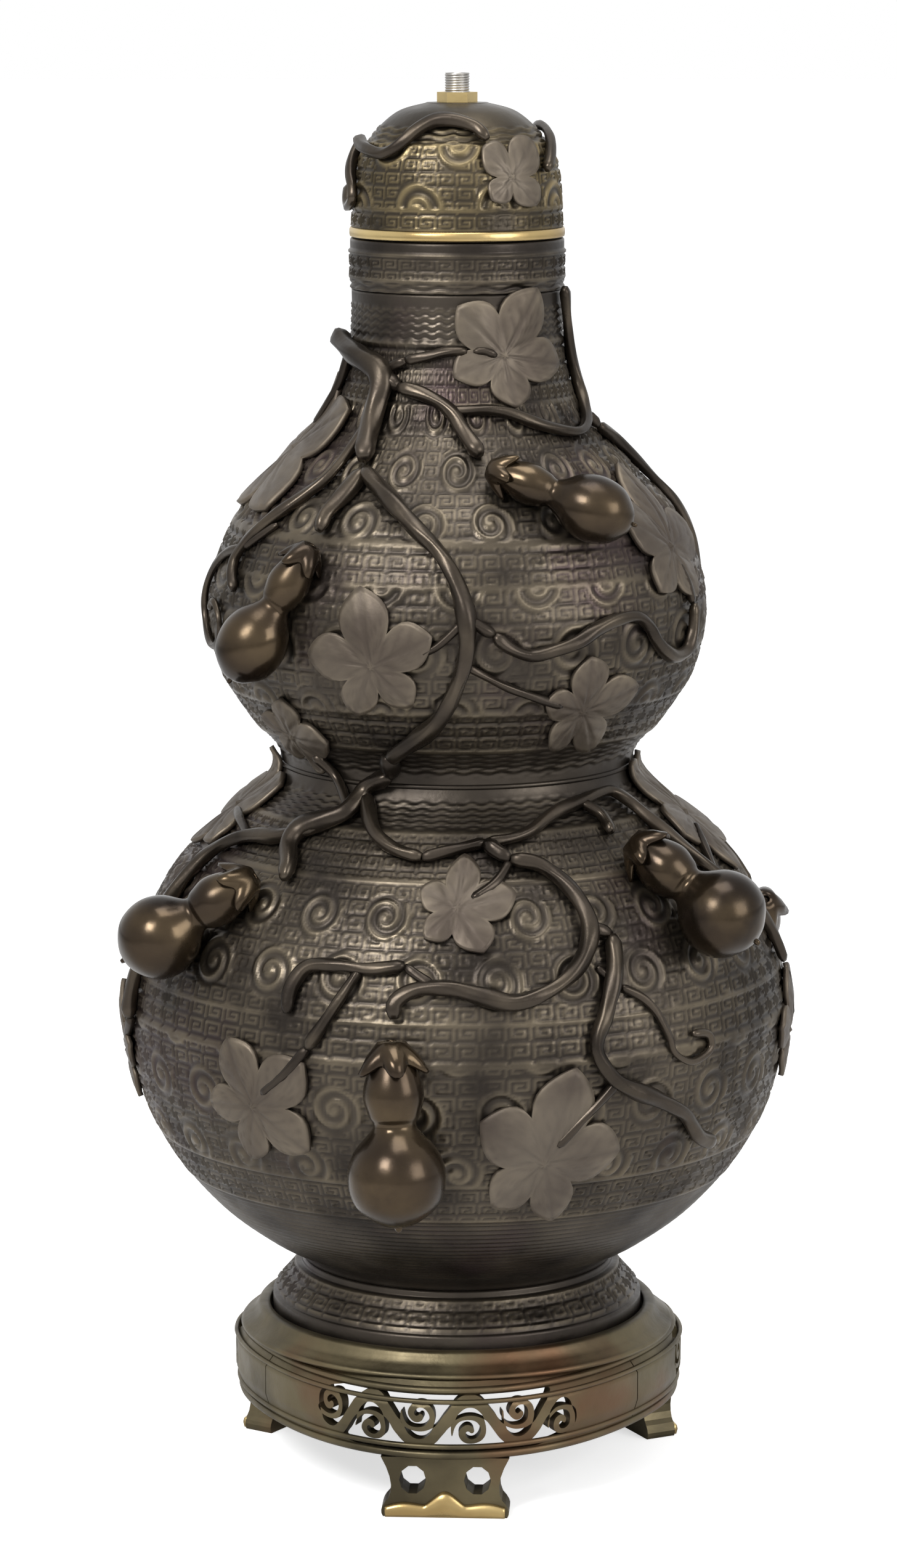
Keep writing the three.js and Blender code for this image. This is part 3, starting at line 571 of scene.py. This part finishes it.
# Routes: degrees round from the front and height over the base of the vase or cap
VINES = {
    "vine_upper_trunk": [
        (4.4, [(-84, 404), (-66, 399), (-49, 395), (-37, 389), (-37, 375), (-35, 364), (-31, 353)]),
        (3.3, [(-31, 353), (-19, 343), (-10, 333), (-4, 325), (0, 314), (2, 302), (2, 290), (0, 277),
               (-4, 264), (-11, 254), (-19, 246)]),
        (3.0, [(-31, 353), (-33, 345), (-36, 337), (-36, 331)]),
        (2.2, [(-40, 372), (-43, 352), (-50, 340), (-59, 328), (-64, 316), (-59, 303)])],
    "vine_neck": [
        (3.0, [(-28, 385), (-14, 382), (-3, 376), (3, 367), (8, 359)]),
        (2.2, [(-3, 376), (19, 376), (39, 369), (57, 366), (73, 372), (84, 386), (76, 412), (70, 426)])],
    "vine_neck_stem": [(2.0, [(-26, 396), (-14, 398), (-4, 400), (8, 400)])],
    "vine_upper_right": [
        (2.6, [(8, 296), (15, 288), (27, 292), (34, 298), (44, 299), (49, 290), (56, 282), (64, 284),
               (66, 300)])],
    "vine_shoulder_right": [(2.2, [(78, 366), (90, 358), (98, 340), (102, 320), (108, 300), (116, 290)])],
    "vine_lower_trunk": [
        (3.7, [(-20, 238), (-28, 230), (-31, 219), (-38, 214), (-43, 209), (-39, 201), (-37, 192)]),
        (2.8, [(-37, 213), (-48, 208), (-58, 206), (-66, 199), (-69, 185), (-71, 168), (-73, 150),
               (-73, 132)]),
        (2.8, [(-28, 226), (-23, 216), (-16, 209), (-8, 206)])],
    "vine_lower_left": [
        (2.6, [(-9, 170), (-17, 168), (-25, 169), (-29, 160), (-29, 147)]),
        (2.2, [(-17, 168), (-21, 153), (-25, 138)])],
    "vine_loop": [
        (3.2, [(12, 205), (19, 202), (24, 192), (25, 181), (22, 170), (17, 162), (10, 157), (3, 160),
               (-4, 163), (-10, 158), (-10, 148)])],
    "vine_lower_right": [
        (2.4, [(7, 211), (17, 213), (27, 219), (38, 222), (48, 224), (55, 222), (58, 211), (63, 196),
               (71, 181), (77, 166), (81, 148)]),
        (2.2, [(38, 222), (42, 217), (41, 211)])],
    "vine_hanging": [
        (3.1, [(29, 178), (28, 166), (25, 150), (23, 138), (27, 125), (34, 117), (41, 108), (46, 97),
               (53, 91)])],
    "vine_back_upper": [
        (4.2, [(120, 398), (136, 390), (150, 380), (158, 364), (172, 350), (186, 334), (190, 312),
               (184, 288), (178, 264), (184, 246)]),
        (2.6, [(158, 364), (142, 352), (130, 336), (134, 318)]),
        (2.4, [(190, 312), (204, 300), (218, 304), (228, 318)])],
    "vine_back_lower": [
        (3.8, [(184, 240), (176, 226), (168, 212), (156, 200), (150, 182), (158, 166), (170, 156)]),
        (2.6, [(168, 212), (184, 206), (198, 198), (208, 184), (206, 168)]),
        (2.6, [(150, 182), (136, 190), (122, 198), (112, 188), (106, 168)]),
        (2.6, [(208, 184), (224, 190), (240, 184), (250, 168), (252, 148)])],
    "tendril_upper": [
        (1.5, [(-62, 322), (-72, 318), (-80, 308), (-84, 294), (-78, 282), (-70, 284), (-68, 294),
               (-73, 300), (-76, 293)])],
    "tendril_lower": [
        (1.5, [(29, 160), (34, 153), (37, 141), (39, 131), (44, 128), (47, 134), (44, 140), (41, 136)])],
}
CAP_VINES = {
    "cap_vine_front": [(2.5, [(-86, 37), (-60, 34), (-46, 33), (-36, 36), (-28, 41), (-16, 45), (0, 45),
                              (14, 42), (20, 36)])],
    "cap_vine_left": [(2.0, [(-92, 36), (-80, 26), (-70, 17), (-84, 12), (-98, 20)])],
    "cap_vine_right": [(2.0, [(56, 27), (68, 34), (86, 40), (110, 42), (134, 36), (150, 26), (166, 20),
                              (184, 24)])],
}
GOURDS = {
    "gourd_shoulder": ((-35, 324), (-46, 288), 13.6),
    "gourd_upper_centre": ((10, 352), (35, 333), 13.2),
    "gourd_lower_left": ((-43, 192), (-56, 166), 16.5),
    "gourd_lower_right": ((41, 204), (49, 176), 17.6),
    "gourd_lower_centre": ((-10, 142), (-9, 98), 19),
    "gourd_back_upper": ((136, 314), (142, 286), 13.4),
    "gourd_back_lower": ((172, 150), (178, 118), 15.8),
    "gourd_back_side": ((110, 160), (126, 130), 16.2),
}
LEAVES = {
    "leaf_neck": dict(at=(24, 398), size=23, turn=60),
    "leaf_shoulder_left": dict(at=(-82, 357), size=27, turn=30),
    "leaf_upper_centre": dict(at=(-19, 283), size=23, turn=100, depth=0.45),
    "leaf_upper_right": dict(at=(62, 322), size=24, turn=80),
    "leaf_waist": dict(at=(31, 264), size=19, turn=20, depth=0.45),
    "leaf_lower_top_right": dict(at=(80, 210), size=24, turn=50),
    "leaf_lower_top_left": dict(at=(-80, 213), size=20, turn=100),
    "leaf_centre_top": dict(at=(0, 190), size=15, turn=10, stretch=1.2),
    "leaf_lower_left": dict(at=(-36, 112), size=24, turn=40, depth=0.45),
    "leaf_far_left": dict(at=(-86, 112), size=22, turn=90),
    "leaf_lower_front": dict(at=(15, 94), size=26, turn=75, stretch=1.15, skin=GREEN_LEAF),
    "leaf_far_right": dict(at=(83, 122), size=21, turn=95),
    "leaf_back_shoulder": dict(at=(160, 320), size=22, turn=30),
    "leaf_back_upper": dict(at=(232, 338), size=20, turn=70),
    "leaf_back_centre": dict(at=(206, 144), size=23, turn=60),
    "leaf_back_lower": dict(at=(142, 118), size=24, turn=110),
    "blossom_waist": dict(at=(-50, 250), size=15, turn=0, depth=0.35),
}
# Short stems to leaves and gourds, and joints between vines
STEMS = [
    (1.7, [(8, 400), (14, 400), (20, 398)]), (1.8, [(-70, 398), (-77, 384), (-82, 366)]),
    (1.6, [(1, 300), (-5, 291), (-13, 285)]), (1.7, [(66, 300), (65, 308), (63, 316)]),
    (1.7, [(2, 284), (12, 275), (25, 267)]), (1.8, [(66, 192), (71, 200), (77, 206)]),
    (1.8, [(-58, 206), (-68, 210), (-76, 212)]), (1.8, [(12, 205), (8, 198), (3, 193)]),
    (1.8, [(-25, 138), (-29, 128), (-34, 118)]), (1.8, [(-73, 132), (-77, 124), (-83, 117)]),
    (1.9, [(27, 125), (22, 113), (17, 101)]), (1.8, [(81, 148), (82, 138), (83, 128)]),
    (1.8, [(142, 352), (150, 338), (158, 326)]), (1.8, [(228, 318), (230, 326), (232, 332)]),
    (1.8, [(206, 168), (207, 158), (206, 150)]), (1.8, [(158, 166), (152, 146), (145, 126)]),
    (3.0, [(7, 211), (9, 208), (12, 205)]), (2.4, [(-8, 206), (0, 209), (7, 211)]),
    (2.4, [(-4, 163), (-7, 167), (-9, 170)]), (2.5, [(2, 302), (5, 299), (8, 296)]),
    (3.0, [(-37, 389), (-32, 387), (-28, 385)]), (2.1, [(-38, 391), (-32, 394), (-26, 396)]),
    (3.4, [(-19, 248), (-19, 243), (-20, 238)]), (3.9, [(184, 247), (184, 243), (184, 240)]),
    (2.2, [(73, 372), (76, 369), (78, 366)]), (2.9, [(25, 181), (27, 180), (29, 178)]),
    (1.9, [(-31, 219), (-40, 232), (-46, 243)]), (1.4, [(-52, 332), (-57, 327), (-62, 322)]),
    (1.4, [(25, 168), (27, 164), (29, 160)]),
]
stem_tubes = []
for k, (radius, route) in enumerate(STEMS):
    stem_tubes.append(tube(VASE.at(*np.array(route, float).T, radius + LIFT), radius, seed=k * 0.9))
piece("leaf_stems", *gathered(stem_tubes), VINE, "vase", "bronze")

for name, branches in VINES.items():
    vine(name, branches, VASE, "vase")
for name, branches in CAP_VINES.items():
    vine(name, branches, DOME, "cap")
for name, (start, tip, lobe) in GOURDS.items():
    gourd(name, start, tip, lobe, VASE, "vase")
for name, shape in LEAVES.items():
    leaf(name, surface=VASE, body="vase", **shape)
leaf("cap_blossom", (30, 25), 14, 45, DOME, "cap", lobes=4, depth=0.5)


# Stand and fittings

def dress(node, skin, round_edge):
    """Material and rounded edges for a solid that stays."""
    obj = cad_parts[node]
    if obj.material_slots:
        obj.material_slots[0].material = skin
    else:
        obj.data.materials.append(skin)
    bevel = obj.modifiers.new("edges", "BEVEL")
    bevel.width = round_edge * MM
    bevel.segments = 2
    bevel.limit_method = "ANGLE"
    bevel.angle_limit = math.radians(35)


THREE_SIDES = {"front": 0, "right": 120, "left": 240}
PANEL_TURN = -3
PANEL_RADIUS = 92
PANEL_LOBE = 4.5
PANEL_WALL = 5
PANEL_SPAN = 59.8  # degrees from a panel's middle to its end
PANEL_LOW, PANEL_HIGH = (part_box("stand_panel_front")[k][2] / MM for k in (0, 1))
PANEL_TALL = PANEL_HIGH - PANEL_LOW
PANEL_MIDDLE = 0.5 * PANEL_TALL
PANEL_LONG = math.radians(2 * PANEL_SPAN) * PANEL_RADIUS
TOP_DRAW, TOP_START = 7, 0.72  # how far a panel's top draws in, and from which share of its height
FOOT_DRAW, FOOT_START = 3.5, 0.35
CELL = 0.85

# Openwork: half sizes of the opening, the waving body's bends and half width, and its curls
OPENING_LONG, OPENING_TALL = 56, 12.4
SWING, BEND = 9.2, 6.2
BODY_HALF = 2.1
BENDS = 4  # each way from the middle
CURL_OFF = 3.4
CURL_EYE = 1.0
CURL_PITCH = 4.4
CURL_HALF = 0.25  # half width of a curl's arm, as a share of its pitch
CURL_REACH = 7.2


def panel_metal(x, z):
    """True where the openwork has metal: a frame round a waving body with curls in its bends."""
    up = z - PANEL_MIDDLE
    inside = (np.abs(x) / OPENING_LONG) ** 4 + (np.abs(up) / OPENING_TALL) ** 4 < 1
    slope = SWING / BEND * np.cos(x / BEND)
    kept = ~inside | (np.abs(up - SWING * np.sin(x / BEND)) < BODY_HALF * np.sqrt(1 + slope ** 2))
    for k in range(-BENDS, BENDS):
        way = 1 if k % 2 == 0 else -1
        dx = x - BEND * math.pi * (k + 0.5)
        dz = up + way * CURL_OFF
        rho = np.hypot(dx, dz)
        turn = (rho - CURL_EYE) / CURL_PITCH - way * np.arctan2(dz, dx) / TAU
        kept |= (np.abs(turn - np.round(turn)) < CURL_HALF) & (rho < CURL_REACH)
    return kept


def softened(spot, kept, rounds=10):
    """The lattice of corners with the steps along the edges of the metal smoothed."""
    columns, rows = kept.shape
    across = np.zeros((columns, rows + 1), bool)
    across[:, 1:-1] = kept[:, 1:] != kept[:, :-1]
    upright = np.zeros((columns + 1, rows), bool)
    upright[1:-1] = kept[1:] != kept[:-1]
    edges = ((across, np.s_[:-1, :], np.s_[1:, :]), (upright, np.s_[:, :-1], np.s_[:, 1:]))
    for _ in range(rounds):
        total = np.zeros_like(spot)
        count = np.zeros(spot.shape[:2])
        for edge, low, high in edges:
            weight = edge[..., None]
            total[low] += weight * spot[high]
            total[high] += weight * spot[low]
            count[low] += edge
            count[high] += edge
        moved = count > 0
        spot[moved] = 0.5 * spot[moved] + 0.5 * total[moved] / count[moved][:, None]
    return spot


def pierced_faces(kept):
    """Faces of the kept cells on an inner and an outer layer, with walls round every opening."""
    columns, rows = kept.shape
    layer = (columns + 1) * (rows + 1)
    faces = []
    for i, j in np.argwhere(kept).tolist():
        here, beyond = i * (rows + 1) + j, (i + 1) * (rows + 1) + j
        corner = [here, beyond, beyond + 1, here + 1]
        faces.append(tuple(layer + c for c in corner))
        faces.append(tuple(reversed(corner)))
        beside = ((i, j - 1), (i + 1, j), (i, j + 1), (i - 1, j))
        for q, (bi, bj) in enumerate(beside):
            if not (0 <= bi < columns and 0 <= bj < rows and kept[bi, bj]):
                c, d = corner[q], corner[(q + 1) % 4]
                faces.append((c, d, layer + d, layer + c))
    return faces


def openwork_panel(side, centre):
    """Pierced and lobed panel in place of one of the stand's three."""
    columns, rows = round(PANEL_LONG / CELL), round(PANEL_TALL / CELL)
    x = np.linspace(-PANEL_LONG / 2, PANEL_LONG / 2, columns + 1)
    z = np.linspace(0, PANEL_TALL, rows + 1)
    kept = panel_metal(*np.meshgrid((x[:-1] + x[1:]) / 2, (z[:-1] + z[1:]) / 2, indexing="ij"))
    spot = softened(np.stack(np.meshgrid(x, z, indexing="ij"), -1), kept)
    off = spot[..., 0] / PANEL_LONG * 2 * PANEL_SPAN
    share = spot[..., 1] / PANEL_TALL
    drawn = TOP_DRAW * np.maximum(0, share - TOP_START) / (1 - TOP_START)
    drawn += FOOT_DRAW * np.maximum(0, FOOT_START - share) / FOOT_START
    radius = PANEL_RADIUS + PANEL_LOBE * np.cos(np.radians(3 * off)) - drawn
    angle, height = np.radians(centre + off), PANEL_LOW + spot[..., 1]
    layers = [around_axis(r, angle, height) for r in (radius - PANEL_WALL, radius)]
    verts = np.stack(layers).reshape(-1, 3)
    faces = pierced_faces(kept)
    used = sorted({k for face in faces for k in face})
    renumber = {old: new for new, old in enumerate(used)}
    faces = [tuple(renumber[k] for k in face) for face in faces]
    piece(f"stand_panel_{side}_openwork", verts[used], faces, STAND, "stand", "stand_brass",
          [f"stand_panel_{side}"], sharp=40)


for side, turn in THREE_SIDES.items():
    openwork_panel(side, PANEL_TURN + turn)
    dress(f"stand_foot_{side}", STAND, 0.8)

SEAT_RING = [(58, 0), (89, 0), (89, 1.2), (88, 2), (87, 2.4), (86.4, 3.2), (84.5, 4.2), (83.4, 5.6),
             (82.4, 7.2), (82, 8.4), (81.2, 9.2), (79.6, 9.4), (77.6, 9.2), (77.2, 8.4), (77.2, 4.4),
             (58, 4.4)]
ring("stand_seat_ring_turned", SEAT_RING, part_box("stand_seat_ring")[0][2] / MM, STAND, "stand",
     "stand_brass", ["stand_seat_ring"])
dress("top_hex_nut", BRASS, 0.35)
dress("pipe_washer", STEEL, 0.2)
dress("pipe_lower_nut", STEEL, 0.3)


def panel_bead(name, height, inset, half):
    """Moulding that follows the three lobes of the stand."""
    columns, steps = 240, 10
    a = np.arange(columns)[:, None] / columns * TAU
    t = np.arange(steps) / steps * TAU
    radius = PANEL_RADIUS - inset + PANEL_LOBE * np.cos(3 * (a - math.radians(PANEL_TURN)))
    verts = around_axis(radius + half * np.cos(t), a, height + half * np.sin(t)).reshape(-1, 3)
    piece(name, verts, wrapped(columns, steps), STAND, "stand", "stand_brass")


panel_bead("stand_bead_top", 53.0, 3.9, 1.6)
panel_bead("stand_bead_upper", 49.4, 0.4, 1.0)
panel_bead("stand_bead_lower", 30.6, 1.6, 1.1)
panel_bead("stand_bead_bottom", 26.8, 3.0, 1.7)

SOLE_HALF = 24
SOLE_FRONT = 90  # distance of a foot's front face from the axis
SOLE_LOW = 0.3
SOLE_SECTION = [(0.0, 0.2), (0.0, 1.6), (0.5, 2.2), (0.9, 1.8), (1.0, 0.2)]  # share of height, way out


def sole(name, centre):
    """Polished cloud-shaped face on the front of a foot."""
    columns, rows = 2 * SOLE_HALF + 1, len(SOLE_SECTION)
    across = np.linspace(-SOLE_HALF, SOLE_HALF, columns)
    lobes = 1.6 * np.abs(np.cos(across / SOLE_HALF * 1.5 * math.pi))
    top = 4.2 + 4.6 * np.exp(-(across / 6) ** 2) + lobes
    grid = [np.column_stack([across, np.full(columns, -(SOLE_FRONT + out)), SOLE_LOW + share * top])
            for share, out in SOLE_SECTION]
    a = math.radians(centre)
    turn = np.array([[math.cos(a), -math.sin(a), 0], [math.sin(a), math.cos(a), 0], [0, 0, 1]])
    verts = np.vstack(grid) @ turn.T
    faces = []
    for j in range(rows):
        n = (j + 1) % rows
        for i in range(columns - 1):
            faces.append((j * columns + i, n * columns + i, n * columns + i + 1, j * columns + i + 1))
    faces.append(tuple(j * columns for j in reversed(range(rows))))
    faces.append(tuple(j * columns + columns - 1 for j in range(rows)))
    piece(name, verts, faces, BRASS, "stand", "stand_brass")


for side, turn in THREE_SIDES.items():
    sole(f"stand_sole_{side}", PANEL_TURN + turn)


# Studio

def flat(name, colour, glow):
    """Pale floor that glows to the camera alone, so that it looks white but keeps the shadow."""
    m = bpy.data.materials.new(name)
    m.use_nodes = True
    shader = m.node_tree.nodes["Principled BSDF"]
    shader.inputs["Base Color"].default_value = colour
    shader.inputs["Roughness"].default_value = 0.9
    shader.inputs["Emission Color"].default_value = (1, 1, 1, 1)
    path = m.node_tree.nodes.new("ShaderNodeLightPath")
    scale = m.node_tree.nodes.new("ShaderNodeMath")
    scale.operation = "MULTIPLY"
    scale.inputs[1].default_value = glow
    m.node_tree.links.new(path.outputs["Is Camera Ray"], scale.inputs[0])
    m.node_tree.links.new(scale.outputs[0], shader.inputs["Emission Strength"])
    return m


bpy.ops.mesh.primitive_plane_add(size=40, location=(0, 0, 0))
floor = bpy.context.object
floor.name = "floor"
floor.data.materials.append(flat("floor_white", (0.85, 0.85, 0.85, 1), glow=0.62))

LIGHT_LEVEL = 0.55  # of the world as a light
SEEN_LEVEL = 1.0  # of the world as the camera and reflections see it
world = bpy.data.worlds.new("studio")
bpy.context.scene.world = world
world.use_nodes = True
tree = world.node_tree
background = tree.nodes["Background"]
background.inputs["Color"].default_value = (1, 1, 1, 1)
path = tree.nodes.new("ShaderNodeLightPath")


def either(a, b):
    """One where either ray test is one."""
    m = tree.nodes.new("ShaderNodeMath")
    m.operation = "MAXIMUM"
    tree.links.new(a, m.inputs[0])
    tree.links.new(b, m.inputs[1])
    return m.outputs[0]


seen = either(path.outputs["Is Camera Ray"], path.outputs["Is Glossy Ray"])
seen = either(seen, path.outputs["Is Transmission Ray"])
level = tree.nodes.new("ShaderNodeMapRange")
level.inputs["To Min"].default_value = LIGHT_LEVEL
level.inputs["To Max"].default_value = SEEN_LEVEL
tree.links.new(seen, level.inputs["Value"])
tree.links.new(level.outputs["Result"], background.inputs["Strength"])


def lamp(name, where, size, watts, target=(0, 0, 0.3)):
    """Soft square light that faces the target."""
    light = bpy.data.lights.new(name, "AREA")
    light.size = size
    light.energy = watts
    obj = bpy.data.objects.new(name, light)
    obj.location = where
    obj.rotation_euler = (Vector(target) - Vector(where)).to_track_quat("-Z", "Y").to_euler()
    bpy.context.scene.collection.objects.link(obj)


lamp("key", (-1.0, -1.6, 1.6), 0.7, 42)
lamp("fill", (1.5, -1.2, 0.9), 1.0, 18)
lamp("top", (0.1, -0.2, 2.0), 0.9, 16)

FRAME_HEIGHT = 2544  # pixels
AXIS_OFFSET = 14  # pixels from the middle of the frame to the vase's axis
CAMERA_PLACE = (0, -1.9665, 0.621)
CAMERA_TILT = 80.2
camera_data = bpy.data.cameras.new("camera")
camera_data.sensor_width = 36
camera_data.lens = 112.5
focal_pixels = camera_data.lens / camera_data.sensor_width * FRAME_HEIGHT
camera = bpy.data.objects.new("camera", camera_data)
camera.location = CAMERA_PLACE
camera.rotation_euler = (math.radians(CAMERA_TILT), 0, AXIS_OFFSET / focal_pixels)
bpy.context.scene.collection.objects.link(camera)
bpy.context.scene.camera = camera
bpy.context.scene.view_settings.view_transform = "Standard"
